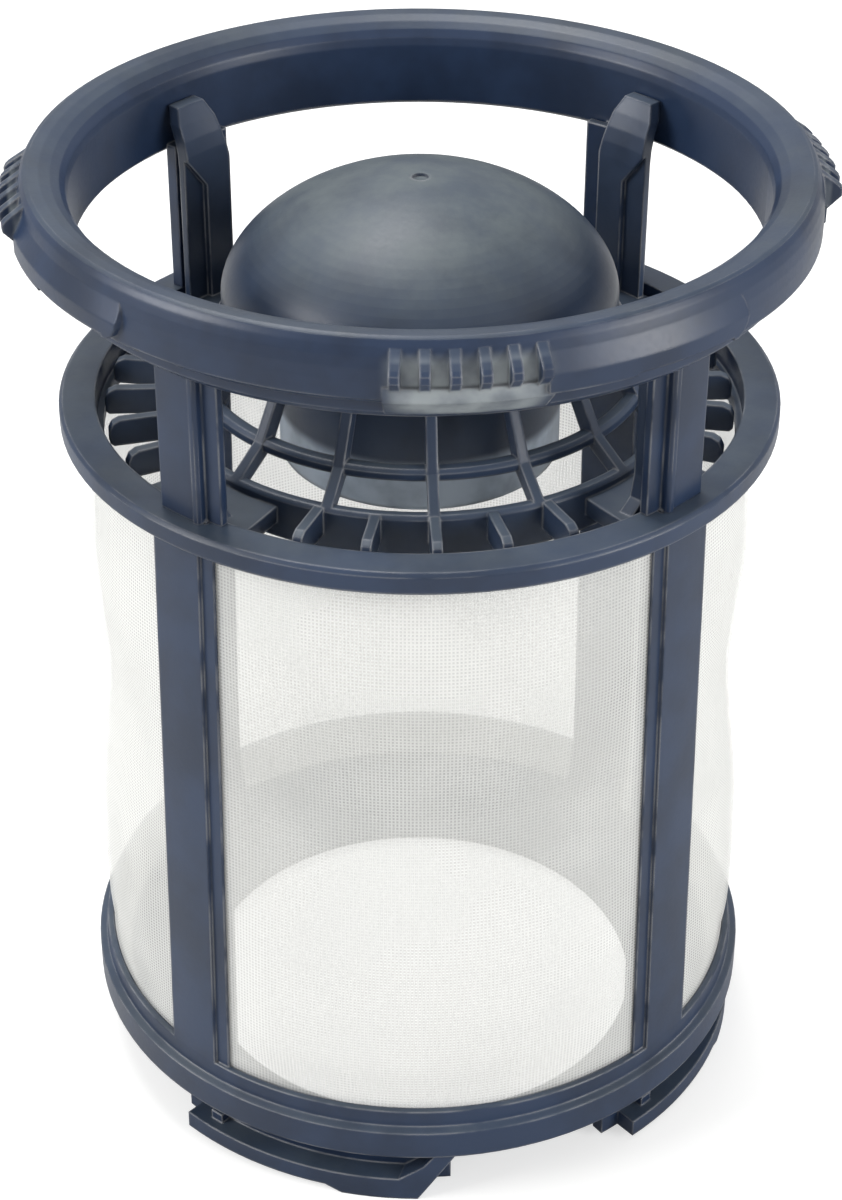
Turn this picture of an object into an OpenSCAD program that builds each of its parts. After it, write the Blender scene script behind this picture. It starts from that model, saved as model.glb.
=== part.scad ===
// Dishwasher filter: a mesh basket with a bayonet foot, a domed coarse strainer and a handle ring.
// Millimetres, +Z up, origin at the centre of the plane that the feet stand on.
// Angles are counted from the front (-Y) towards +X.

/* [Basket] */
// Height of the flange's top above the feet
flange_top_z = 87.3; // [80:0.5:95]
// How far the flange stands out of the mesh
flange_out = 3.3; // [2.9:0.1:4]
// Width of the flat flange from its inner edge outwards
flange_w = 4; // [3.6:0.1:4.4]
// Thickness of the flange
flange_h = 2.6; // [2:0.1:3.2]
// Depth of the skirt that hangs inside the mesh below the flange
skirt_h = 2.1; // [1.5:0.1:3]
// Depth of the seat below the flange's top
seat_depth = 3.1; // [2.8:0.1:3.6]
// How far the four seats stand in from the skirt
seat_w = 1.3; // [0.8:0.1:2]
// Height of a seat's root under its face
seat_h = 3; // [2:0.5:5]

/* [Mesh sleeve] */
// Outer radius of the mesh under the flange
mesh_top_r = 36.7; // [36:0.1:38]
// How much wider the mesh is at the top of the bottom ring
mesh_flare = 1.6; // [1:0.1:2]
// How far the hem runs in from there inside the bottom ring
hem_in = 1.6; // [1.2:0.1:2]
// Thickness of the woven sheet
mesh_t = 0.4; // [0.3:0.05:0.6]

/* [Ribs] */
// Angle where a rib's stepped edge starts
rib_from = 37.9; // [36:0.5:39]
// Angle where a rib ends
rib_to = 50.7; // [49:0.5:52]
// Width of the stepped edge, in degrees
rib_step = 2.6; // [2:0.2:4]
// How far the rib's main face stands out of the mesh
rib_out = 0.8; // [0.5:0.1:1.2]
// How far the stepped edge stands out of the mesh
rib_step_out = 0.35; // [0.25:0.05:0.5]
// Thickness of the bar inside the mesh
rib_in = 1; // [0.7:0.1:1.5]

/* [Bottom ring and floor] */
// How far the bottom ring stands out of the mesh
ring_out = 1.9; // [1.3:0.1:2.6]
// Height of the ring's lower edge above the feet
ring_z = 7.3; // [6.5:0.1:8.5]
// Height of the ring's full band
band_h = 3.7; // [3:0.1:4.5]
// Height of the whole ring
ring_h = 6.1; // [5.5:0.1:7.5]
// Width of the sloping floor between the collar and the round hole
floor_w = 8.4; // [6:0.2:11]
// Height of the floor's inner edge above the feet
hole_z = 0.8; // [0.5:0.1:3]
// Thickness of the sloping floor
floor_t = 1; // [0.8:0.1:1.5]

/* [Bayonet feet] */
// Number of feet
foot_count = 4; // [2:1:4]
// Extra turn of the keyed foot, in degrees
key_turn = 5.5; // [0:0.5:8]
// Angle where the first regular foot's blade starts
foot_start = 37.5; // [30:0.5:45]
// How far the collar above the blades stands out of the hem
collar_out = 0.3; // [0.1:0.1:0.8]
// Thickness of the collar
collar_t = 1.6; // [1.2:0.1:2.2]
// How far a blade stands out of the collar
blade_w = 2.6; // [2:0.1:3]
// Height of a blade's upper face above the feet
blade_top = 3.1; // [2.5:0.1:3.5]
// How far the thin part of a blade stays above the feet
blade_lift = 0.9; // [0.5:0.1:1.4]
// Length of the thin part of a blade, in degrees
blade_thin = 28; // [20:1:30]
// Length of the whole blade, in degrees
blade_len = 44; // [40:1:46]
// Height of the stop bump on a blade
bump_h = 1.2; // [0.8:0.1:2]
// Distance of the stop bump from the blade's tip, in degrees
bump_at = 4; // [2:0.5:8]
// Length of the stop bump, in degrees
bump_len = 2.5; // [2:0.5:4]
// Length of the ramp between the thin and the thick part, in degrees
ramp_len = 3; // [2:0.5:5]
// Length of the sloping web past a blade, in degrees
web_len = 7; // [5:0.5:8]
// Thickness of the web
web_t = 2.2; // [1.8:0.1:2.6]
// How far the collar starts before a blade, in degrees
collar_lead = 4; // [3:0.5:6]
// How far the collar ends before the web's end, in degrees
collar_short = 1; // [0.5:0.5:2]
// Slope of the collar's first end, in degrees
collar_slope = 12; // [5:1:20]

/* [Handle ring] */
// Height of the ring's inner lower edge above the flange's top
ring_rise = 17.1; // [15:0.1:19]
// How far the ring's inner wall lies outside the flange's inner edge
bore_out = 1.3; // [1:0.1:1.6]
// Distance of the crest from the ring's inner wall
crest_w = 4.1; // [3.2:0.1:4.6]
// Height of the rounding inside the crest
crest_fall = 3; // [2:0.1:4]
// Radial size of the ring's body
body_w = 5.5; // [5.2:0.1:6.5]
// Radial size of the lip below the body
lip_w = 3.2; // [2.8:0.1:3.8]
// Height of the body's straight face above the lip
shoulder_h = 2.4; // [1.6:0.1:3]
// Width of the ring's flat lower edge
low_w = 1.4; // [1:0.1:1.8]
// Height of the ring from its inner lower edge to the crest
body_h = 10.3; // [9.5:0.1:12]
// Height of the lip's lower edge above the ring's inner lower edge
lip_rise = 1.2; // [0.6:0.1:2]
// Height of the lip's face
lip_h = 2.4; // [1.8:0.1:3]
// Width of the groove in the ring's underside
core_w = 1; // [0.6:0.1:1.4]
// Depth of the groove in the ring's underside
core_h = 5; // [2:0.5:7]

/* [Grips] */
// Number of grips
grip_count = 4; // [2:1:4]
// Angle of the first grip's middle
grip_mid = 3.2; // [0:0.2:6]
// Length of a grip, in degrees
grip_len = 22; // [20:0.5:24]
// How far the grip ribs stand out of the ring's body
grip_out = 1.8; // [1.4:0.1:2.6]
// Height of a grip rib's outer edge above the shoulder
grip_rise = 1.6; // [1:0.1:2]
// Number of ribs on a grip
grip_ribs = 6; // [3:1:7]
// Angle between two ribs
grip_pitch = 3.75; // [3:0.05:3.8]
// Thickness of a grip rib
grip_rib_t = 1.1; // [0.8:0.1:1.6]
// How far the grip's sloping base stands out of the ring
grip_base = 0.3; // [0.2:0.1:0.6]
// Radial size of the raised block beside a grip
block_out = 0.8; // [0.6:0.1:1.2]
// Angle where a raised block ends, from its grip's middle
block_end = 40.3; // [36:0.5:44]
// Distance of the pocket from the raised block's end, in degrees
pocket_in = 2; // [1:0.5:4]
// Distance of the slot past the raised block's end, in degrees
slot_past = 3; // [2:0.5:5]
// Length of the pocket below a raised block, in degrees
pocket_len = 16; // [10:1:18]
// Length of the thin slot above the lip, in degrees
slot_len = 7; // [4:0.5:9]
// Height of the slot and the pocket
slot_h = 1.1; // [0.8:0.1:1.4]

/* [Posts] */
// Angle where a post starts
post_from = 35.9; // [34.5:0.1:36.5]
// Angle where a post ends
post_to = 48.3; // [47:0.1:50]
// Radial size of a post
post_w = 1.8; // [1.6:0.1:2.2]
// Thickness of the post's set-back strip
post_strip_t = 1; // [0.8:0.1:1.3]
// Width of the post's set-back strip, in degrees
post_strip = 3; // [2:0.1:4]
// Width of the bead beside the strip, in degrees
bead_len = 1.6; // [1.2:0.1:2.4]
// How far the bead stands out of the post
bead_out = 0.35; // [0.2:0.05:0.5]
// How far a post reaches up beside the ring's inner wall
post_root = 0.8; // [0.6:0.1:1]
// Radial size of the peg under a post
peg_t = 0.9; // [0.7:0.1:1.1]
// Width of the peg, in degrees
peg_len = 7; // [4:0.5:9]
// Length of the peg
peg_h = 1.6; // [1:0.1:1.8]

/* [Coarse strainer] */
// Angle where a pad starts
pad_from = 33.5; // [32.5:0.5:34.5]
// Angle where a pad ends
pad_to = 56.5; // [55.5:0.5:57.5]
// Thickness of a pad
pad_h = 2; // [1.5:0.1:2.6]
// Thickness of the base wall
wall_t = 1.2; // [0.9:0.1:1.6]
// Height of the base wall
wall_h = 4.8; // [4:0.2:7]
// Length of the fins beyond the base wall
fin_len = 5.8; // [5:0.1:7]
// Thickness of a fin
fin_t = 1.1; // [0.8:0.1:1.6]
// Angle between two fins
fin_pitch = 12; // [10:0.5:12]
// Number of fins between two pads
fin_count = 5; // [3:2:5]

/* [Cage and dome] */
// How far the dome's rim lies in from the base wall
dome_in = 7.5; // [6.5:0.1:9]
// Height of the dome above its rim
dome_h = 13; // [11:0.2:15]
// Height of the dome's rim above the flange's top
dome_rise = 11.6; // [10:0.2:13]
// Thickness of the dome
dome_t = 1.3; // [1:0.1:1.8]
// Height of the dome's straight rim
dome_rim_h = 1.2; // [0.8:0.1:2]
// Fullness of the dome's curve
dome_power = 1.8; // [1.6:0.05:2.2]
// Radius of the gate mark on the dome
gate_r = 0.9; // [0.6:0.1:1.5]
// Depth of the gate mark
gate_depth = 0.35; // [0.2:0.05:0.6]
// Number of ribs in the cage
cage_ribs = 16; // [12:1:20]
// Thickness of a cage rib
cage_rib_t = 1.2; // [0.9:0.1:1.6]
// Depth of a cage rib
cage_rib_d = 1.5; // [1.1:0.1:2]
// How far the hoop halfway down the cage lies in from the base wall
hoop_in = 3.9; // [3:0.1:5]
// Height of the hoop's upper edge above the flange's top
hoop_rise = 3.2; // [2:0.2:5]
// Height of the hoop
hoop_h = 1.2; // [0.9:0.1:1.8]
// How far the tube below the dome lies in from the dome's rim
core_in = 6; // [4.5:0.1:8]
// Thickness of the tube below the dome
core_t = 1.2; // [0.9:0.1:1.6]
// How far the tube reaches below the flange's top
core_drop = 7.3; // [3:0.2:12]

/* [Arms] */
// How far an arm's straight part lies in from the flange's inner edge
arm_in = 1.1; // [0.9:0.1:1.6]
// Thickness of an arm
arm_t = 1.6; // [1.3:0.1:1.9]
// Angle where an arm starts
arm_from = 40.3; // [38:0.1:41.5]
// Angle where an arm ends
arm_to = 50.9; // [49.5:0.1:52.5]
// Turn of the arms against the pads, in degrees
arm_turn = -1.5; // [-2.5:0.1:0]
// Depth of the step along an arm's outer side
arm_step = 0.7; // [0.4:0.1:0.9]
// Width of the step along an arm's outer side
arm_step_w = 2.9; // [2:0.1:3.5]
// How far the step slants down from its top
arm_step_fall = 5; // [2:0.5:7]
// How far an arm reaches up beside the handle ring
arm_reach = 5.6; // [4:0.2:6.4]
// Height of an arm's bent top
arm_bend_h = 7; // [6.2:0.1:7.7]
// How far the chamfered corner reaches down an arm
arm_chamfer = 6.6; // [5:0.2:8]
// How far the chamfered corner reaches along an arm's top
arm_chamfer_w = 1.8; // [1.2:0.1:2.4]
// How far an arm's foot spreads on the pad
arm_foot_w = 1.8; // [1:0.1:2.4]
// Height of an arm's spreading foot above the pad
arm_foot_h = 4; // [3:0.2:6]

/* [Fits] */
// Clearance of the pads inside the flange
pad_gap = 0.3; // [0.2:0.05:0.6]
// Clearance of the fins inside the flange
fin_gap = 1; // [0.8:0.1:1.6]
// Clearance of the mesh between the bars that hold it
mesh_gap = 0.05; // [0.02:0.01:0.1]
// Clearance of the arms inside the handle ring
arm_gap = 0.3; // [0.2:0.05:0.5]
// Clearance of the pegs in their sockets
peg_gap = 0.1; // [0.05:0.05:0.2]

/* [Hidden] */
round_fn = 96;
overlap = 0.2;
bevel = 0.4;
plastic_blue = [0.33, 0.38, 0.44];
strainer_blue = [0.29, 0.34, 0.40];
mesh_white = [0.95, 0.95, 0.93];

// Radii that several pieces share
flange_r = mesh_top_r + flange_out;
flange_in_r = flange_r - flange_w;
mesh_foot_r = mesh_top_r + mesh_flare;
hem_r = mesh_foot_r - hem_in;
skirt_out_r = mesh_top_r - mesh_t - mesh_gap;
skirt_in_r = skirt_out_r - rib_in;
ring_r = mesh_foot_r + ring_out;
ring_top_r = mesh_foot_r + rib_out;
collar_r = hem_r + collar_out;
collar_in_r = collar_r - collar_t;
hole_r = collar_in_r - floor_w;
bore_r = flange_in_r + bore_out;
crest_r = bore_r + crest_w;
body_r = bore_r + body_w;
lip_r = bore_r + lip_w;
grip_r = body_r + grip_out;
post_r = flange_in_r + post_w;
pad_r = flange_in_r - pad_gap;
fin_r = flange_in_r - fin_gap;
wall_r = fin_r - fin_len;
dome_r = wall_r - dome_in;
hoop_r = wall_r - hoop_in;
core_r = dome_r - core_in;
arm_r = flange_in_r - arm_in;

// Levels that several pieces share
flange_z = flange_top_z - flange_h;
seat_z = flange_top_z - seat_depth;
ring_top_z = ring_z + ring_h;
hem_z = ring_z + floor_t;
ring_low_z = flange_top_z + ring_rise;
crest_z = ring_low_z + body_h;
lip_z = ring_low_z + lip_rise;
lip_top_z = lip_z + lip_h;
shoulder_z = lip_top_z + shoulder_h;
rim_z = flange_top_z + dome_rise;
rim_low_z = rim_z - dome_rim_h;
arm_top_z = ring_low_z + arm_reach;
grip_turn = 360 / grip_count;

// Height of the dome's outer face above its rim at a radius
function dome_at(r, big_r, big_h) = big_h * pow(max(0, 1 - pow(r / big_r, dome_power)), 1 / dome_power);

// Outline of the dome from its axis to its rim
function dome_curve(big_r, big_h, steps) =
    [for (i = [0 : steps]) let (r = big_r * sin(90 * i / steps)) [r, rim_z + dome_at(r, big_r, big_h)]];

// Turns an outline of radius and height about the axis, between two angles
module sector(from, to) {
    rotate([0, 0, from - 90])
        rotate_extrude(angle = to - from, $fn = round_fn)
            children();
}

// Turns an outline of radius and height all the way round
module ring() {
    rotate_extrude($fn = round_fn)
        children();
}

// Stands an outline of radius and height upright at an angle, as a plate
module plate(angle, thickness) {
    rotate([0, 0, angle - 90])
        rotate([90, 0, 0])
            translate([0, 0, -thickness / 2])
                linear_extrude(thickness)
                    children();
}

// Repeats the front right corner at all four corners
module four_corners() {
    for (left = [0, 1], back = [0, 1])
        mirror([left, 0, 0])
            mirror([0, back, 0])
                children();
}

// Flat flange with its skirt and the rebate that the strainer drops into
module flange() {
    ring()
        polygon([
            [skirt_in_r, flange_z - skirt_h],
            [skirt_out_r, flange_z - skirt_h],
            [skirt_out_r, flange_z],
            [flange_r - bevel, flange_z],
            [flange_r, flange_z + bevel],
            [flange_r, flange_top_z - bevel],
            [flange_r - bevel, flange_top_z],
            [flange_in_r, flange_top_z],
            [flange_in_r, seat_z],
            [skirt_in_r, seat_z]
        ]);
}

// Wedge under a strainer pad
module seat() {
    sector(rib_from, rib_to)
        polygon([
            [skirt_in_r - seat_w, seat_z],
            [skirt_in_r + overlap, seat_z],
            [skirt_in_r + overlap, seat_z - seat_h],
            [skirt_in_r - bevel, seat_z - seat_h]
        ]);
}

// Outline of a bar on the outside of the mesh, between two distances from it
module outer_bar(near, far) {
    polygon([
        [mesh_top_r + near, flange_z + overlap],
        [mesh_top_r + far, flange_z + overlap],
        [mesh_top_r + far, flange_z],
        [mesh_foot_r + far, ring_top_z],
        [mesh_foot_r + far, ring_top_z - overlap],
        [mesh_foot_r + near, ring_top_z - overlap],
        [mesh_foot_r + near, ring_top_z],
        [mesh_top_r + near, flange_z]
    ]);
}

// Outline of the bar on the inside of the mesh
module inner_bar() {
    held_top = mesh_top_r - mesh_t - mesh_gap;
    held_foot = mesh_foot_r - mesh_t - mesh_gap;
    held_hem = hem_r - mesh_t - mesh_gap;
    polygon([
        [held_top - rib_in, seat_z],
        [held_top, seat_z],
        [held_foot, ring_top_z],
        [held_hem, hem_z],
        [held_hem, hem_z - overlap],
        [held_hem - rib_in, hem_z - overlap],
        [held_hem - rib_in, hem_z],
        [held_foot - rib_in, ring_top_z]
    ]);
}

// Rib at one corner: the main face, the stepped edge and the bar inside
module rib() {
    sector(rib_from, rib_to)
        outer_bar(mesh_gap, rib_step_out);
    sector(rib_from + rib_step, rib_to)
        outer_bar(rib_step_out / 2, rib_out);
    sector(rib_from, rib_to)
        inner_bar();
}

// Bottom ring, hollowed for the hem, with the sloping floor
module bottom_ring() {
    ring()
        polygon([
            [collar_in_r, ring_z],
            [ring_r, ring_z],
            [ring_r, ring_z + band_h],
            [ring_top_r + bevel / 2, ring_z + band_h + bevel],
            [ring_top_r, ring_top_z],
            [mesh_foot_r + mesh_gap, ring_top_z],
            [hem_r + mesh_gap, hem_z],
            [collar_in_r, hem_z - bevel]
        ]);
    ring()
        polygon([
            [hole_r, hole_z],
            [hole_r, hole_z + floor_t],
            [hem_r - mesh_t - mesh_gap - bevel, hem_z],
            [hem_r, hem_z - overlap / 2],
            [hem_r, ring_z + overlap],
            [collar_in_r + overlap, ring_z]
        ]);
}

// Bayonet foot: a length of collar with a blade that thickens to a step and ends in a sloping web
module foot(start) {
    half = (blade_len + web_len) / 2;
    blade_r = collar_r + blade_w;
    thin_to = blade_r * sin(blade_thin - half);
    thick_from = blade_r * sin(blade_thin + ramp_len - half);
    thick_to = blade_r * sin(blade_len - half);
    web_to = blade_r * sin(half);
    difference() {
        sector(start - collar_lead, start + blade_len + web_len - collar_short)
            polygon([
                [collar_in_r, blade_lift],
                [collar_r, blade_lift],
                [collar_r, ring_z + overlap],
                [collar_in_r, ring_z + overlap]
            ]);
        rotate([0, 0, start - collar_lead])
            translate([0, -collar_r, 0])
                rotate([0, -collar_slope, 0])
                    translate([-ring_z, -collar_r / 2, -ring_z])
                        cube([ring_z, collar_r, 2 * ring_z]);
    }
    intersection() {
        sector(start, start + blade_len + web_len)
            polygon([
                [collar_r - collar_t / 2, 0],
                [blade_r, 0],
                [blade_r, ring_z + overlap],
                [collar_r - collar_t / 2, ring_z + overlap]
            ]);
        facing(start + half)
            polygon([
                [-blade_r, blade_lift],
                [thin_to, blade_lift],
                [thick_from, 0],
                [thick_to, 0],
                [web_to, ring_z + overlap],
                [thick_to + web_t, ring_z + overlap],
                [thick_to + web_t / 4, ring_z - web_t],
                [thick_to - web_t, blade_top],
                [-blade_r, blade_top]
            ]);
    }
    sector(start + bump_at, start + bump_at + bump_len)
        polygon([
            [collar_r - overlap, blade_top - overlap],
            [collar_r + blade_w / 2, blade_top - overlap],
            [collar_r + blade_w / 2, blade_top + bump_h],
            [collar_r - overlap, blade_top + bump_h]
        ]);
}

// Hollow in the flange for the peg under a post
module socket() {
    mid = (post_from + post_to) / 2;
    side = peg_gap * 180 / (PI * flange_in_r);
    sector(mid - peg_len / 2 - side, mid + peg_len / 2 + side)
        polygon([
            [post_r - bevel - peg_t - peg_gap, flange_top_z - peg_h - peg_gap],
            [post_r - bevel + peg_gap, flange_top_z - peg_h - peg_gap],
            [post_r - bevel + peg_gap, flange_top_z + overlap],
            [post_r - bevel - peg_t - peg_gap, flange_top_z + overlap]
        ]);
}

module filter_frame() {
    color(plastic_blue) {
        difference() {
            flange();
            four_corners()
                socket();
        }
        four_corners() {
            rib();
            seat();
        }
        bottom_ring();
        for (i = [0 : foot_count - 1])
            foot(foot_start + i * 360 / foot_count + (i == foot_count - 1 ? key_turn : 0));
    }
}

module mesh_sleeve() {
    color(mesh_white)
        ring()
            polygon([
                [mesh_top_r - mesh_t, flange_z],
                [mesh_top_r, flange_z],
                [mesh_foot_r, ring_top_z],
                [hem_r, hem_z],
                [hem_r - mesh_t, hem_z],
                [mesh_foot_r - mesh_t, ring_top_z]
            ]);
}

// Pad at one corner, resting on the seat
module pad() {
    sector(pad_from, pad_to)
        polygon([
            [wall_r - overlap, seat_z],
            [pad_r, seat_z],
            [pad_r, seat_z + pad_h - bevel],
            [pad_r - bevel, seat_z + pad_h],
            [wall_r - overlap, seat_z + pad_h]
        ]);
}

// Radial fins between two pads
module fins() {
    for (side = [0 : 3])
        for (i = [0 : fin_count - 1])
            plate(90 * side + fin_pitch * (i - (fin_count - 1) / 2), fin_t)
                polygon([
                    [wall_r - overlap, seat_z],
                    [fin_r - bevel, seat_z],
                    [fin_r, seat_z + bevel],
                    [fin_r, flange_top_z - 3 * bevel],
                    [fin_r - bevel, flange_top_z - bevel],
                    [fin_r - 3 * bevel, flange_top_z],
                    [wall_r - overlap, flange_top_z]
                ]);
}

// Base wall with the hoop and the sloping ribs that carry the dome's rim
module cage() {
    hoop_z = flange_top_z + hoop_rise;
    ring()
        polygon([
            [wall_r - wall_t, flange_top_z - wall_h],
            [wall_r, flange_top_z - wall_h],
            [wall_r, flange_top_z - bevel],
            [wall_r - bevel, flange_top_z],
            [wall_r - wall_t, flange_top_z]
        ]);
    ring()
        polygon([
            [hoop_r - cage_rib_d, hoop_z - hoop_h],
            [hoop_r, hoop_z - hoop_h],
            [hoop_r, hoop_z - bevel],
            [hoop_r - bevel, hoop_z],
            [hoop_r - cage_rib_d, hoop_z]
        ]);
    for (i = [0 : cage_ribs - 1])
        plate(360 * i / cage_ribs, cage_rib_t)
            polygon([
                [dome_r - dome_t, rim_low_z],
                [dome_r - bevel, rim_low_z],
                [hoop_r, hoop_z - bevel],
                [wall_r - bevel, flange_top_z],
                [wall_r - wall_t, flange_top_z - wall_t],
                [hoop_r - cage_rib_d, hoop_z - hoop_h],
                [dome_r - dome_t, rim_low_z - cage_rib_d]
            ]);
}

// Domed cap with its straight rim and the gate mark
module dome() {
    outer_steps = 24;
    inner_steps = 8;
    inner_r = dome_r - dome_t;
    outside = dome_curve(dome_r, dome_h, outer_steps);
    inside = dome_curve(inner_r, dome_h - dome_t, inner_steps);
    difference() {
        ring()
            polygon(concat(
                outside,
                [[dome_r, rim_low_z + bevel], [dome_r - bevel, rim_low_z], [inner_r, rim_low_z]],
                [for (i = [inner_steps : -1 : 0]) inside[i]]
            ));
        translate([0, 0, rim_z + dome_h - gate_depth])
            cylinder(r = gate_r, h = 2 * gate_depth, $fn = 32);
    }
}

// Tube that hangs below the dome
module core_tube() {
    top_z = rim_z + dome_at(core_r, dome_r - dome_t, dome_h - dome_t) + dome_t / 4;
    ring()
        polygon([
            [core_r - core_t, flange_top_z - core_drop],
            [core_r, flange_top_z - core_drop],
            [core_r, top_z],
            [core_r - core_t, top_z]
        ]);
}

module dome_cap() {
    color(strainer_blue) {
        dome();
        core_tube();
    }
}

// Stands an outline of width and height upright, facing outwards at an angle
module facing(angle) {
    rotate([0, 0, angle])
        rotate([90, 0, 0])
            linear_extrude(2 * mesh_foot_r)
                children();
}

// Points of an arm's bent top, at a distance in from its outer face
function bent_top(inset, steps = 4) =
    [for (i = [0 : steps]) let (t = i / steps, reach = bore_r - arm_gap - arm_r)
        [arm_r - inset + reach * t * t, arm_top_z - arm_bend_h * (1 - t)]];

// Arm at one corner: its top bends outwards, one corner is chamfered and one side steps back
module arm() {
    steps = 4;
    mid = (arm_from + arm_to) / 2;
    half_w = arm_r * sin((arm_to - arm_from) / 2);
    foot_z = seat_z + pad_h / 2;
    pad_z = seat_z + pad_h;
    bend_z = arm_top_z - arm_bend_h;
    inner = bent_top(arm_t, steps);
    difference() {
        intersection() {
            ring()
                polygon(concat(
                    [[arm_r - arm_t, foot_z], [arm_r, foot_z]],
                    bent_top(0, steps),
                    [for (i = [steps : -1 : 0]) inner[i]]
                ));
            facing(mid)
                polygon([
                    [-half_w - arm_foot_w, foot_z - overlap],
                    [half_w, foot_z - overlap],
                    [half_w, arm_top_z - arm_chamfer_w],
                    [half_w - arm_chamfer_w / 2, arm_top_z + overlap],
                    [arm_chamfer_w - half_w, arm_top_z + overlap],
                    [arm_chamfer_w / 2 - half_w, arm_top_z - arm_chamfer_w],
                    [-half_w, arm_top_z - arm_chamfer],
                    [-half_w, pad_z + arm_foot_h],
                    [-half_w - arm_foot_w / 4, pad_z + arm_foot_h / 3],
                    [-half_w - arm_foot_w, pad_z]
                ]);
        }
        intersection() {
            ring()
                polygon([
                    [arm_r - 2 * arm_t, foot_z - overlap],
                    [arm_r - arm_t + arm_step, foot_z - overlap],
                    [arm_r - arm_t + arm_step, arm_top_z],
                    [arm_r - 2 * arm_t, arm_top_z]
                ]);
            facing(mid)
                polygon([
                    [half_w - arm_step_w, foot_z - 2 * overlap],
                    [half_w + arm_step_w, foot_z - 2 * overlap],
                    [half_w + arm_step_w, bend_z + arm_step_fall],
                    [half_w - arm_step_w, bend_z - arm_step_fall / 2]
                ]);
        }
    }
}

module coarse_filter() {
    color(strainer_blue) {
        cage();
        fins();
        four_corners()
            pad();
        rotate([0, 0, arm_turn])
            four_corners()
                arm();
    }
}

// Point on a rounding that rises upright from one point and levels out at another
function rounding(from, to, turn) =
    [from[0] + (to[0] - from[0]) * (1 - cos(turn)), from[1] + (to[1] - from[1]) * sin(turn)];

// Outline of the handle ring
module ring_outline() {
    crest = [crest_r, crest_z];
    polygon(concat(
        [[bore_r, ring_low_z + bevel]],
        [for (turn = [0 : 18 : 72]) rounding([bore_r, crest_z - crest_fall], crest, turn)],
        [for (turn = [90 : -18 : 0]) rounding([body_r, shoulder_z], crest, turn)],
        [
            [body_r, lip_top_z + 1.5 * bevel],
            [body_r - 1.5 * bevel, lip_top_z],
            [lip_r + bevel, lip_top_z - bevel / 2],
            [lip_r, lip_top_z - 1.5 * bevel],
            [lip_r, lip_z + bevel],
            [lip_r - bevel, lip_z],
            [bore_r + low_w, ring_low_z],
            [bore_r + bevel, ring_low_z]
        ]
    ));
}

// Ribbed grip with its sloping base
module grip(mid) {
    base_r = body_r + grip_base;
    sector(mid - grip_len / 2, mid + grip_len / 2)
        polygon([
            [lip_r - 2 * bevel, lip_z + bevel],
            [lip_r + grip_base, lip_z + bevel],
            [base_r, lip_top_z + bevel],
            [base_r, shoulder_z - bevel],
            [body_r - 2 * bevel, shoulder_z - bevel],
            [lip_r - 2 * bevel, lip_top_z]
        ]);
    for (i = [0 : grip_ribs - 1])
        plate(mid + grip_pitch * (i - (grip_ribs - 1) / 2), grip_rib_t)
            polygon([
                [crest_r - bevel, crest_z - 4 * bevel],
                [crest_r + bevel, crest_z - 1.5 * bevel],
                [grip_r - bevel, shoulder_z + grip_rise + bevel],
                [grip_r, shoulder_z + grip_rise],
                [grip_r, shoulder_z + grip_rise / 2],
                [base_r, shoulder_z - grip_rise / 2],
                [body_r - 2 * bevel, shoulder_z - grip_rise / 2]
            ]);
}

// Raised block beside a grip, with a rounded end
module raised_block(mid) {
    block_r = body_r + block_out;
    low_z = lip_top_z + 2 * bevel;
    high_z = crest_z - 3 * bevel;
    end_r = (high_z - low_z) / 2 + overlap;
    half_len = (block_end - grip_len / 2) / 2;
    half_w = block_r * sin(half_len + 1);
    intersection() {
        ring()
            polygon([
                [body_r - 3 * bevel, low_z],
                [block_r, low_z],
                [block_r, shoulder_z + bevel],
                [crest_r + block_out, high_z],
                [crest_r, high_z]
            ]);
        facing(mid + grip_len / 2 + half_len)
            polygon(concat(
                [[-half_w, high_z + overlap], [-half_w, low_z - overlap]],
                [for (turn = [-90 : 22.5 : 90])
                    [half_w + end_r * (cos(turn) - 1), (low_z + high_z) / 2 + end_r * sin(turn)]]
            ));
    }
}

// Pocket below the raised block and the thin slot past its end
module ring_slots(mid) {
    pocket_to = mid + block_end - pocket_in;
    slot_from = mid + block_end + slot_past;
    cut_r = body_r + 2 * block_out;
    sector(pocket_to - pocket_len, pocket_to)
        polygon([
            [lip_r + bevel / 2, lip_top_z - overlap],
            [cut_r, lip_top_z - overlap],
            [cut_r, lip_top_z + slot_h],
            [lip_r + bevel / 2, lip_top_z + slot_h]
        ]);
    sector(slot_from, slot_from + slot_len)
        polygon([
            [lip_r - bevel, lip_top_z - 2 * overlap],
            [cut_r, lip_top_z - 2 * overlap],
            [cut_r, lip_top_z + slot_h / 2],
            [lip_r - bevel, lip_top_z + slot_h / 2]
        ]);
}

// Point at a radius and an angle
function polar(r, angle) = [r * sin(angle), -r * cos(angle)];

// Points along an arc
function arc(r, from, to, steps = 8) = [for (i = [0 : steps]) polar(r, from + (to - from) * i / steps)];

// Post at one corner: a set-back strip, a bead and the main column, with the peg below
module post() {
    mid = (post_from + post_to) / 2;
    strip_r = flange_in_r + post_strip_t;
    bead_r = post_r + bead_out;
    bead_from = post_from + post_strip;
    bead_to = bead_from + bead_len;
    translate([0, 0, flange_top_z])
        linear_extrude(ring_low_z + post_root - flange_top_z)
            polygon(concat(
                [polar(strip_r, post_from), polar(strip_r, bead_from), polar(post_r, bead_from)],
                [polar(bead_r, bead_from + bead_len / 4), polar(bead_r, bead_to - bead_len / 4)],
                arc(post_r, bead_to, post_to - bead_len / 2),
                [polar(post_r - bevel, post_to)],
                arc(flange_in_r, post_to, post_from)
            ));
    translate([0, 0, flange_top_z - peg_h])
        linear_extrude(peg_h + overlap)
            polygon(concat(
                arc(post_r - bevel, mid - peg_len / 2, mid + peg_len / 2),
                arc(post_r - bevel - peg_t, mid + peg_len / 2, mid - peg_len / 2)
            ));
}

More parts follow.
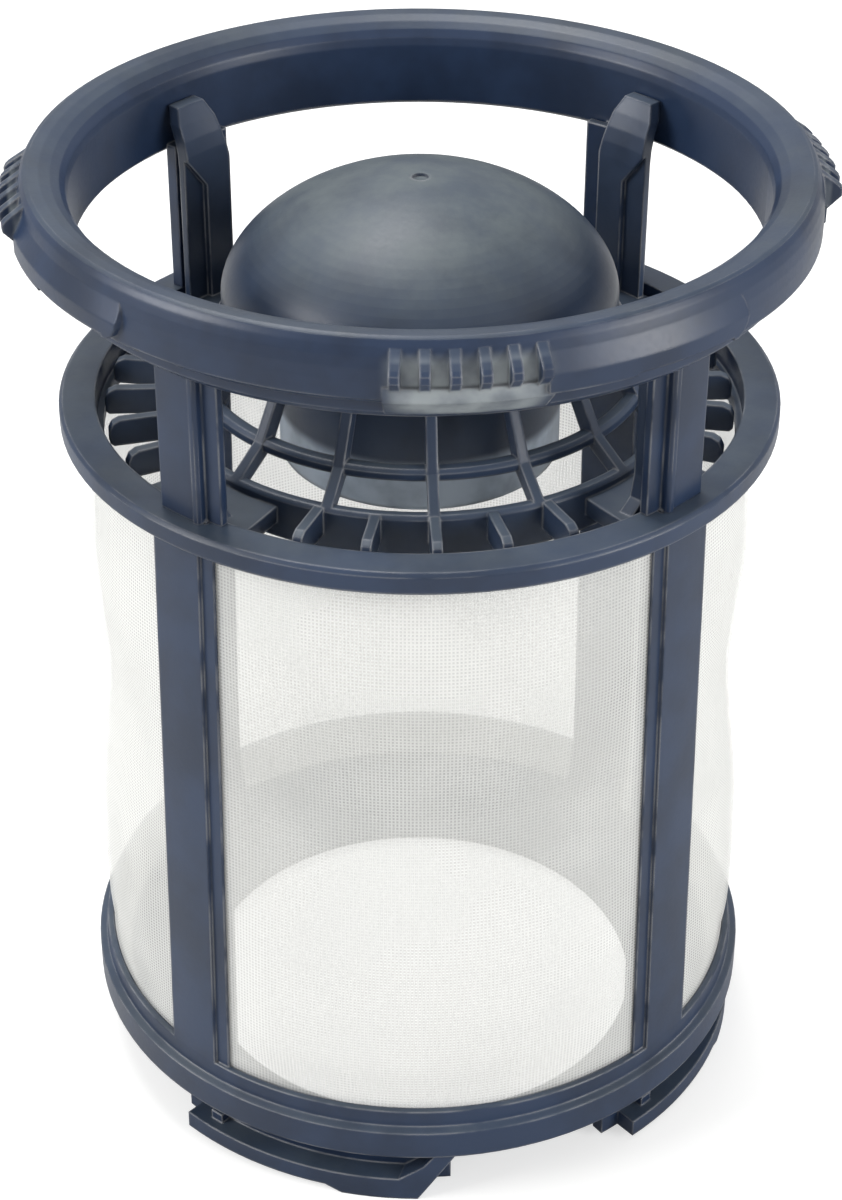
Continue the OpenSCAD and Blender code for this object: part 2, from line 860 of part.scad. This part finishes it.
module handle_ring() {
    core_mid = (bore_r + lip_r) / 2;
    color(plastic_blue) {
        difference() {
            union() {
                ring()
                    ring_outline();
                for (i = [0 : grip_count - 1]) {
                    grip(grip_mid + i * grip_turn);
                    raised_block(grip_mid + i * grip_turn);
                }
            }
            ring()
                polygon([
                    [core_mid - core_w / 2, ring_low_z - core_w],
                    [core_mid + core_w / 2, ring_low_z - core_w],
                    [core_mid + core_w / 2, ring_low_z + core_h],
                    [core_mid - core_w / 2, ring_low_z + core_h]
                ]);
            for (i = [0 : grip_count - 1])
                ring_slots(grip_mid + i * grip_turn);
        }
        four_corners()
            post();
    }
}

filter_frame();
mesh_sleeve();
coarse_filter();
dome_cap();
handle_ring();
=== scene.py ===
import math

import bpy
import numpy as np
from mathutils import Euler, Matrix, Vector


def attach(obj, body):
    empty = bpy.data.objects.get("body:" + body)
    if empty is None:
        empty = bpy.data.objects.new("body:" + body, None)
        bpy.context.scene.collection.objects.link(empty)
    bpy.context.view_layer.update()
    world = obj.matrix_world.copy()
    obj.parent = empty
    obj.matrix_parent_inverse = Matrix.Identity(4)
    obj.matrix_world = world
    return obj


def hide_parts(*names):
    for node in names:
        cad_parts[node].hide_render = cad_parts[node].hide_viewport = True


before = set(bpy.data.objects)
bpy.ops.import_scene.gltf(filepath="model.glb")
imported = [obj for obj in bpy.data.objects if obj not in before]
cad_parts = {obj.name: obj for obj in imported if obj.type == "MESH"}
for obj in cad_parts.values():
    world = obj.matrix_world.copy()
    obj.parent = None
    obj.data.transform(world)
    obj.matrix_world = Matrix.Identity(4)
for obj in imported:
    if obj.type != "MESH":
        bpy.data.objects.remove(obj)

print("stage: frame loaded")
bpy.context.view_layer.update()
mm = 0.001


# A socket that can be used in sums: each operator adds one Math node
class Value:
    def __init__(self, tree, socket):
        self.tree, self.socket = tree, socket

    def join(self, operation, first, second=None):
        inputs = {0: first} if second is None else {0: first, 1: second}
        return self.tree.add("ShaderNodeMath", {"operation": operation}, inputs)

    def __add__(self, other):
        return self.join("ADD", self, other)

    def __radd__(self, other):
        return self.join("ADD", other, self)

    def __sub__(self, other):
        return self.join("SUBTRACT", self, other)

    def __rsub__(self, other):
        return self.join("SUBTRACT", other, self)

    def __mul__(self, other):
        return self.join("MULTIPLY", self, other)

    def __truediv__(self, other):
        return self.join("DIVIDE", self, other)

    def __pow__(self, other):
        return self.join("POWER", self, other)

    def sine(self):
        return self.join("SINE", self)

    def most(self, other):
        return self.join("MAXIMUM", self, other)


# The nodes of one material
class ShaderTree:
    def __init__(self, name):
        self.material = bpy.data.materials.new(name)
        self.material.use_nodes = True
        self.nodes = self.material.node_tree.nodes
        self.links = self.material.node_tree.links
        self.nodes.clear()

    def add(self, kind, settings=None, inputs=None, output=0):
        node = self.nodes.new(kind)
        for key, value in (settings or {}).items():
            setattr(node, key, value)
        for key, value in (inputs or {}).items():
            self.put(node.inputs[key], value)
        return Value(self, node.outputs[output]) if len(node.outputs) else None

    def put(self, socket, value):
        if isinstance(value, Value):
            self.links.new(value.socket, socket)
        elif isinstance(value, (tuple, list)) and socket.type == "RGBA":
            socket.default_value = (*value, 1.0)
        else:
            socket.default_value = value

    def mix(self, factor, first, second):
        return self.add("ShaderNodeMix", {"data_type": "RGBA"}, {0: factor, 6: first, 7: second}, 2)

    # Object coordinates
    def place(self):
        return self.add("ShaderNodeTexCoord", output=3)

    # One of a vector's three parts
    def part(self, vector, axis):
        return self.add("ShaderNodeSeparateXYZ", {}, {0: vector}, axis)

    def noise(self, scale, detail=2.0, roughness=0.5):
        return self.add("ShaderNodeTexNoise", {}, {"Vector": self.place(), "Scale": scale,
                                                   "Detail": detail, "Roughness": roughness})

    # A smooth step from one value to another between two limits
    def spread(self, value, limits, ends=(0.0, 1.0)):
        return self.add("ShaderNodeMapRange", {"interpolation_type": "SMOOTHSTEP"},
                        {0: value, 1: limits[0], 2: limits[1], 3: ends[0], 4: ends[1]})

    # The same, for limits in millimetres
    def spreadLength(self, value, limits, ends=(0.0, 1.0)):
        return self.spread(value, tuple(limit * mm for limit in limits), ends)

    def bump(self, height, strength, distance, normal=None):
        inputs = {"Strength": strength, "Distance": distance * mm, "Height": height}
        if normal is not None:
            inputs["Normal"] = normal
        return self.add("ShaderNodeBump", {}, inputs)

    def finish(self, inputs):
        shader = self.add("ShaderNodeBsdfPrincipled", {}, inputs)
        self.add("ShaderNodeOutputMaterial", {}, {"Surface": shader})
        return self.material


# What every moulding shares: linear colours, lengths in millimetres, noise scales per metre.
# Limits are where a smooth step begins and ends.
moulding = {
    "colourWander": 0.22,            # how far the colour wanders to either side
    "wanderScale": 75.0, "wanderDetail": 4.0, "wanderRough": 0.6, "wanderLimits": (0.35, 0.65),
    # A pale coat painted on faces that look up: painted light from above, in patches
    "paintedTopLightColour": (0.105, 0.128, 0.138),
    "paintedTopLightFaces": (0.55, 1.0),        # how far a face looks up where the painted top light begins and is full
    "paintedTopLightScale": 120.0, "paintedTopLightDetail": 5.0, "paintedTopLightRough": 0.65, "paintedTopLightLimits": (0.30, 0.70),
    "paintedTopLightLeast": 0.45,               # the painted top light's share where its patches are thin
    "paintedTopLightDulls": 0.16,               # how much rougher the plastic is under the painted top light
    # Edges painted paler toward this grey, in patches: a painted highlight
    "paintedHighlightGrey": 0.62, "paintedHighlightShare": 0.42,
    "paintedHighlightEdge": (0.80, 0.995), "paintedHighlightScale": 160.0, "paintedHighlightDetail": 3.0, "paintedHighlightLimits": (0.35, 0.6),
    "roughness": 0.36, "wanderRoughens": 0.12, "grainRoughens": 0.10,
    "grainSize": 0.5, "grainDepth": 0.012, "grainStrength": 0.5,
    "bevelSamples": 6, "specular": 0.5,
}

# Each moulding's share of the painted top light differs
basketFrame = {"colour": (0.017, 0.032, 0.070), "paintedTopLight": 0.40, "edgeRadius": 0.45}

coarseStrainer = {"colour": (0.022, 0.036, 0.068), "paintedTopLight": 0.40, "edgeRadius": 0.45}

# The edge radius is wide enough to run the dome's bands together
strainerDome = {"colour": (0.022, 0.036, 0.068), "paintedTopLight": 0.95, "edgeRadius": 0.90}

handleRing = {"colour": (0.014, 0.028, 0.064), "paintedTopLight": 0.35, "edgeRadius": 0.45}

# A painted highlight on the ring's grips: pale patches standing in for light reflected there. Lengths
# are millimetres, the turn is degrees.
paintedGripHighlight = {
    "colour": (0.36, 0.395, 0.41), "strength": 0.85,
    "turn": 3.2,                     # the first grip's middle
    "nearGrip": (0.014, 0.040),      # where the painted highlight fades to the sides, as s(1 - s)
    "innerRadius": (40.4, 41.4), "outerRadius": (43.2, 43.7),
    "height": (112.0, 113.6),
    "patchScale": 260.0, "patchDetail": 3.0, "patchLimits": (0.30, 0.62), "patchLeast": 0.5,
}

# Painted light low on the strainer's tube: paler patches where light from above reaches below the ring's
# shadow. Lengths are millimetres.
paintedTubeLight = {
    "colour": (0.42, 0.49, 0.58), "strength": 0.9,
    "height": (84.6, 86.2),
    "patchScale": 210.0, "patchDetail": 3.0, "patchLimits": (0.30, 0.62), "patchLeast": 0.6,
}


# Uneven cover of a patch, from its least share to all of it
def patchiness(tree, patch):
    cloud = tree.noise(patch["patchScale"], patch["patchDetail"])
    return tree.spread(cloud, patch["patchLimits"], (patch["patchLeast"], 1.0))


# Where the painted highlight lies on the ring: near a grip, on its base but not on its ribs, and below
# the crest.
# With s the share of x squared in the squared radius, s(1 - s) is nought at each quarter turn.
def paintedGripHighlightMask(tree):
    turned = tree.add("ShaderNodeMapping", {}, {
        "Vector": tree.place(), "Rotation": (0, 0, -math.radians(paintedGripHighlight["turn"]))})
    x, y, z = (tree.part(turned, axis) for axis in range(3))
    squared = x * x + y * y
    radius = squared ** 0.5
    share = x * x / squared
    mask = tree.spread(share * (1 - share), paintedGripHighlight["nearGrip"], (1.0, 0.0))
    mask = mask * tree.spreadLength(radius, paintedGripHighlight["innerRadius"])
    mask = mask * tree.spreadLength(radius, paintedGripHighlight["outerRadius"], (1.0, 0.0))
    mask = mask * tree.spreadLength(z, paintedGripHighlight["height"], (1.0, 0.0))
    return mask * patchiness(tree, paintedGripHighlight)


# Where the painted light on the tube lies: below a height, in patches
def paintedTubeLightMask(tree):
    z = tree.part(tree.place(), 2)
    return tree.spreadLength(z, paintedTubeLight["height"], (1.0, 0.0)) * patchiness(tree, paintedTubeLight)


# Moulded plastic with a fine grain, softened edges, a slow wander in its colour,
# a pale coat painted on faces that look up as light from above, and edges painted paler as highlights.
# An edge is where the softened normal and the face's own part company.
def mouldedPlastic(name, piece, patch=None, maskOf=None):
    facts, colour = moulding, piece["colour"]
    tree = ShaderTree(name)
    wander = tree.noise(facts["wanderScale"], facts["wanderDetail"], facts["wanderRough"])
    grain = tree.noise(1.0 / (facts["grainSize"] * mm))
    paler = tuple(c * (1 + facts["colourWander"]) for c in colour)
    darker = tuple(c * (1 - facts["colourWander"]) for c in colour)
    # Painted highlight: the edge colour mixed toward a pale grey
    paintedHighlight = tuple(c + (facts["paintedHighlightGrey"] - c) * facts["paintedHighlightShare"] for c in colour)
    clean = tree.mix(tree.spread(wander, facts["wanderLimits"]), darker, paler)
    # Painted light from above: faces that look up are made paler, in patches
    upward = tree.part(tree.add("ShaderNodeTexCoord", output=1), 2)
    cloud = tree.noise(facts["paintedTopLightScale"], facts["paintedTopLightDetail"], facts["paintedTopLightRough"])
    patchy = tree.spread(cloud, facts["paintedTopLightLimits"], (facts["paintedTopLightLeast"], 1.0))
    paintedTopLighted = tree.spread(upward, facts["paintedTopLightFaces"]) * patchy * piece["paintedTopLight"]
    base = tree.mix(paintedTopLighted, clean, facts["paintedTopLightColour"])
    # An optional painted patch of light: the grip highlight or the light low on the tube
    if patch:
        base = tree.mix(maskOf(tree) * patch["strength"], base, patch["colour"])
    softened = tree.add("ShaderNodeBevel", {"samples": facts["bevelSamples"]},
                        {"Radius": piece["edgeRadius"] * mm})
    flat = tree.add("ShaderNodeNewGeometry", output=1)
    alike = tree.add("ShaderNodeVectorMath", {"operation": "DOT_PRODUCT"}, {0: softened, 1: flat}, 1)
    edge = tree.spread(alike, facts["paintedHighlightEdge"], (1.0, 0.0))
    paintedHighlightPatches = tree.spread(tree.noise(facts["paintedHighlightScale"], facts["paintedHighlightDetail"]), facts["paintedHighlightLimits"])
    roughness = (facts["roughness"] + (wander - 0.5) * facts["wanderRoughens"]
                 + (grain - 0.5) * facts["grainRoughens"] + paintedTopLighted * facts["paintedTopLightDulls"])
    return tree.finish({
        # Edges painted paler in patches as highlights
        "Base Color": tree.mix(edge * paintedHighlightPatches, base, paintedHighlight),
        "Roughness": roughness,
        "Normal": tree.bump(grain, facts["grainStrength"], facts["grainDepth"], softened),
        "Specular IOR Level": facts["specular"],
    })


def dressNodes():
    finishes = {
        "filter_frame": mouldedPlastic("framePlastic", basketFrame),
        "coarse_filter": mouldedPlastic("strainerPlastic", coarseStrainer),
        # The tube is painted paler low down as light
        "dome_cap": mouldedPlastic("domePlastic", strainerDome, paintedTubeLight, paintedTubeLightMask),
        # The ring's grips get a painted highlight
        "handle_ring": mouldedPlastic("ringPlastic", handleRing, paintedGripHighlight, paintedGripHighlightMask),
    }
    for name, finish in finishes.items():
        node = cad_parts[name]
        if node.material_slots:
            for slot in node.material_slots:
                slot.material = finish
        else:
            node.data.materials.append(finish)


# The woven nylon: lengths in millimetres, noise scale per metre
weave = {
    "white": (0.95, 0.952, 0.925),
    "pitch": 0.42,                   # between threads
    "openCover": 0.27,               # how much light one face of the sheet stops between threads
    "threadCover": 0.52,             # and on a thread
    "threadLimits": (0.30, 0.85),
    "threadDepth": 0.03, "threadStrength": 0.35,
    "cloudScale": 55.0, "cloudLimits": (0.3, 0.7), "cloudCover": (0.94, 1.06),
    "shadeLimits": (0.35, 0.7), "shadeDark": 0.97,
    "roughness": 0.62, "sheen": 0.15,
}


# Open weave on the sheet's own map: a sine wave across it and one up it,
# and the higher of the two at each point is the thread on top
def wovenNylon(name):
    tree = ShaderTree(name)
    across = tree.part(tree.add("ShaderNodeUVMap", {"uv_map": "sheet"}), 0)
    up = tree.part(tree.add("ShaderNodeUVMap", {"uv_map": "sheet"}), 1)
    wavesPerLength = 2 * math.pi / weave["pitch"]
    warp = (across * wavesPerLength).sine() * 0.5 + 0.5
    weft = (up * wavesPerLength).sine() * 0.5 + 0.5
    threads = warp.most(weft)
    cloudy = tree.noise(weave["cloudScale"])
    cover = tree.spread(threads, weave["threadLimits"], (weave["openCover"], weave["threadCover"]))
    darker = tuple(c * weave["shadeDark"] for c in weave["white"])
    return tree.finish({
        "Base Color": tree.mix(tree.spread(cloudy, weave["shadeLimits"]), darker, weave["white"]),
        "Roughness": weave["roughness"],
        "Normal": tree.bump(threads, weave["threadStrength"], weave["threadDepth"]),
        "Alpha": cover * tree.spread(cloudy, weave["cloudLimits"], weave["cloudCover"]),
        "Sheen Weight": weave["sheen"],
    })


# The sleeve. Lengths are millimetres, turns are degrees from the front.
sleeve = {
    "topRadius": 36.7, "topHeight": 84.7,
    "footRadius": 38.3, "footHeight": 13.4,
    "hemRadius": 36.7, "hemHeight": 8.3,
    "meanRadius": 37.5, "length": 76.6,   # of the sheet laid flat
    "thickness": 0.34,                    # a little thinner than the slot that holds it
    "slotThickness": 0.4,
    "endInset": 0.02,
    "ribMiddle": 44.3, "ribHalfWidth": 6.6,
    "sideFade": 9.0,                      # over which a bulge grows from a rib
    "endFade": 6.0, "endGap": 0.5,        # and from the held ends
    "waveHeights": [13.4, 20, 26, 34, 42, 48, 54, 61, 68, 76, 84.7],
    "wavePush": [0.2, 0.62, 0.78, 0.60, -0.15, -0.62, -0.70, -0.10, 0.42, 0.25, 0.0],
    "panelShare": 0.18, "panelStep": 2.1,  # how much the four panels' bulges differ
    "rippleDepth": 0.10, "rippleHeight": 5.1, "ripplePanel": 1.7, "rippleTurns": 3.0,
    "columns": 360, "rows": 96, "hemRows": 8,
}


# A smooth step from 0 to 1
def smooth(share):
    share = np.clip(share, 0, 1)
    return share * share * (3 - 2 * share)


# The sleeve's radius: straight between its held ends, pushed out or in between two ribs.
# The push is a smooth window between the ribs times a slow wave down the height.
def sleeveRadius(turn, height):
    shape = sleeve
    share = (shape["topHeight"] - height) / (shape["topHeight"] - shape["footHeight"])
    straight = shape["topRadius"] + (shape["footRadius"] - shape["topRadius"]) * np.clip(share, 0, 1)
    hemShare = np.clip((shape["footHeight"] - height) / (shape["footHeight"] - shape["hemHeight"]), 0, 1)
    straight = straight + (shape["hemRadius"] - shape["footRadius"]) * hemShare
    fromMiddle = np.abs((turn + 45.0) % 90.0 - 45.0)       # 0 in the middle of a panel, 45 at a rib
    window = smooth((shape["ribMiddle"] - shape["ribHalfWidth"] - fromMiddle) / shape["sideFade"])
    fromEnd = np.minimum(shape["topHeight"] - height, height - shape["footHeight"] - shape["endGap"])
    ends = smooth(fromEnd / shape["endFade"])
    panel = np.floor((turn + 45.0) / 90.0) % 4
    wave = np.interp(height, shape["waveHeights"], shape["wavePush"])
    wave = wave * (1 - shape["panelShare"] * np.cos(panel * shape["panelStep"]))
    ripple = shape["rippleDepth"] * np.sin(height / shape["rippleHeight"] + panel * shape["ripplePanel"]
                                           + np.radians(turn) * shape["rippleTurns"])
    return straight + window * ends * (wave + ripple)


# A mesh from a grid of points; the columns close into a ring
def gridMesh(name, points, maps):
    rows, columns = points.shape[:2]
    mesh = bpy.data.meshes.new(name)
    index = np.arange(rows * columns).reshape(rows, columns)
    right = np.roll(index, -1, axis=1)
    faces = np.stack([index[:-1], right[:-1], right[1:], index[1:]], -1).reshape(-1, 4)
    mesh.vertices.add(rows * columns)
    mesh.vertices.foreach_set("co", points.reshape(-1).astype(np.float32))
    mesh.loops.add(faces.size)
    mesh.loops.foreach_set("vertex_index", faces.reshape(-1).astype(np.int32))
    mesh.polygons.add(len(faces))
    mesh.polygons.foreach_set("loop_start", np.arange(0, faces.size, 4, dtype=np.int32))
    mesh.polygons.foreach_set("use_smooth", np.ones(len(faces), bool))
    layer = mesh.uv_layers.new(name="sheet")
    layer.data.foreach_set("uv", maps.reshape(-1).astype(np.float32))
    mesh.update(calc_edges=True)
    mesh.validate()
    piece = bpy.data.objects.new(name, mesh)
    bpy.context.scene.collection.objects.link(piece)
    return piece


# The sleeve's grid: turns across, heights up, each point at its radius; Solidify gives it a wall.
# Its map is in millimetres, round the sleeve and up it.
def buildSleeve():
    shape = sleeve
    columns, inset = shape["columns"], shape["endInset"]
    turn = np.linspace(0, 360, columns, endpoint=False)
    hem = np.linspace(shape["hemHeight"] + inset, shape["footHeight"], shape["hemRows"])
    rise = np.linspace(shape["footHeight"], shape["topHeight"] - inset, shape["rows"])
    height = np.concatenate([hem, rise[1:]])
    turns, heights = np.meshgrid(turn, height)
    radius = sleeveRadius(turns, heights) - (shape["slotThickness"] - shape["thickness"]) / 2
    angle = np.radians(turns)
    points = np.stack([radius * np.sin(angle), -radius * np.cos(angle), heights], -1) * mm
    around = np.linspace(0, 2 * math.pi * shape["meanRadius"], columns + 1)
    corners = np.zeros((len(height) - 1, columns, 4, 2))
    corners[..., 0, 0] = corners[..., 3, 0] = around[:-1]
    corners[..., 1, 0] = corners[..., 2, 0] = around[1:]
    corners[..., 0, 1] = corners[..., 1, 1] = height[:-1, None]
    corners[..., 2, 1] = corners[..., 3, 1] = height[1:, None]
    piece = gridMesh("wovenSleeve", points, corners)
    wall = piece.modifiers.new("wall", "SOLIDIFY")
    wall.thickness, wall.offset, wall.use_even_offset = shape["thickness"] * mm, -1, True
    piece.data.materials.append(wovenNylon("wovenNylon"))
    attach(piece, "root")
    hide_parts("mesh_sleeve")


# Soft lights round the filter: place and size in metres, power in watts
lights = {
    "keySoft": {"at": (-0.80, -0.22, 0.50), "size": 0.40, "power": 5.0},
    "fillSoft": {"at": (0.74, -0.46, 0.36), "size": 0.40, "power": 4.6},
    "topSoft": {"at": (-0.16, 0.34, 0.95), "size": 0.45, "power": 5.2},
}

studio = {
    "white": (1, 1, 1),
    "aim": (0, 0, 0.06),             # where the lights point, metres
    "worldLevel": 0.56,              # light from all round
    "worldSeen": 1.0,                # the plain white behind the filter
}


def buildLights():
    for name, facts in lights.items():
        data = bpy.data.lights.new(name, "AREA")
        data.size, data.energy = facts["size"], facts["power"]
        lamp = bpy.data.objects.new(name, data)
        lamp.location = facts["at"]
        toAim = Vector(studio["aim"]) - lamp.location
        lamp.rotation_euler = toAim.to_track_quat("-Z", "Y").to_euler()
        bpy.context.scene.collection.objects.link(lamp)


# A world that the camera sees white and that lights the filter at its own level
def buildWorld():
    world = bpy.data.worlds.new("studio")
    bpy.context.scene.world = world
    world.use_nodes = True
    nodes, links = world.node_tree.nodes, world.node_tree.links
    nodes.clear()
    path = nodes.new("ShaderNodeLightPath")
    mixer = nodes.new("ShaderNodeMixShader")
    out = nodes.new("ShaderNodeOutputWorld")
    links.new(path.outputs["Is Camera Ray"], mixer.inputs[0])
    for place, level in ((1, studio["worldLevel"]), (2, studio["worldSeen"])):
        sky = nodes.new("ShaderNodeBackground")
        sky.inputs["Strength"].default_value = level
        sky.inputs["Color"].default_value = (*studio["white"], 1)
        links.new(sky.outputs[0], mixer.inputs[place])
    links.new(mixer.outputs[0], out.inputs[0])


paleFloor = {
    "halfWidth": 12.0,               # metres
    "colour": (0.62, 0.62, 0.61),
    "glow": 0.55,                    # added only where the camera sees the floor
}


def buildFloor():
    edge = paleFloor["halfWidth"]
    mesh = bpy.data.meshes.new("paleFloor")
    corners = [(-edge, -edge, 0), (edge, -edge, 0), (edge, edge, 0), (-edge, edge, 0)]
    mesh.from_pydata(corners, [], [(0, 1, 2, 3)])
    floor = bpy.data.objects.new("paleFloor", mesh)
    bpy.context.scene.collection.objects.link(floor)
    tree = ShaderTree("paleFloor")
    seen = tree.add("ShaderNodeLightPath")
    glow = tree.add("ShaderNodeEmission", {}, {"Color": studio["white"], "Strength": paleFloor["glow"]})
    matt = tree.add("ShaderNodeBsdfDiffuse", {}, {"Color": paleFloor["colour"]})
    both = tree.add("ShaderNodeAddShader", {}, {0: glow, 1: matt})
    shown = tree.add("ShaderNodeMixShader", {}, {0: seen, 1: matt, 2: both})
    tree.add("ShaderNodeOutputMaterial", {}, {"Surface": shown})
    mesh.materials.append(tree.material)


# Where the photograph was taken from. Lengths are millimetres, angles degrees.
camera = {
    "turn": -3.1,                    # round the filter, from its front
    "elevation": 33.51,
    "distance": 313.2,
    "aimHeight": 57.9,
    "aside": 0.22,                   # sideways shift of the whole view
    "roll": 0.19,
    "focalPixels": 2666.0,
    "imageHeight": 1200.0,
    "sensor": 24.0,
    "nearest": 10.0, "farthest": 10000.0,
}


# The eye stands back from its aim along the line of sight, and is then rolled about that line
def buildCamera():
    shot = camera
    rise, turn = math.radians(shot["elevation"]), math.radians(shot["turn"])
    aside = Vector((math.cos(turn), math.sin(turn), 0)) * shot["aside"]
    aim = Vector((0, 0, shot["aimHeight"])) + aside
    back = Vector((math.sin(turn) * math.cos(rise), -math.cos(turn) * math.cos(rise), math.sin(rise)))
    data = bpy.data.cameras.new("photoCamera")
    data.sensor_fit, data.sensor_height, data.sensor_width = "VERTICAL", shot["sensor"], shot["sensor"]
    data.lens = shot["sensor"] * shot["focalPixels"] / shot["imageHeight"]
    data.clip_start, data.clip_end = shot["nearest"] * mm, shot["farthest"] * mm
    eye = bpy.data.objects.new("photoCamera", data)
    eye.location = (aim + back * shot["distance"]) * mm
    roll = Euler((0, 0, math.radians(shot["roll"]))).to_matrix()
    eye.rotation_euler = ((-back).to_track_quat("-Z", "Y").to_matrix() @ roll).to_euler()
    bpy.context.scene.collection.objects.link(eye)
    bpy.context.scene.camera = eye


buildCamera()
dressNodes()
print("stage: moulded plastic on the frame, the strainer and the ring")
buildSleeve()
print("stage: woven sleeve")
buildLights()
buildWorld()
buildFloor()
print("stage: lights and floor")

bpy.context.scene.view_settings.view_transform = "Standard"
bpy.context.view_layer.update()
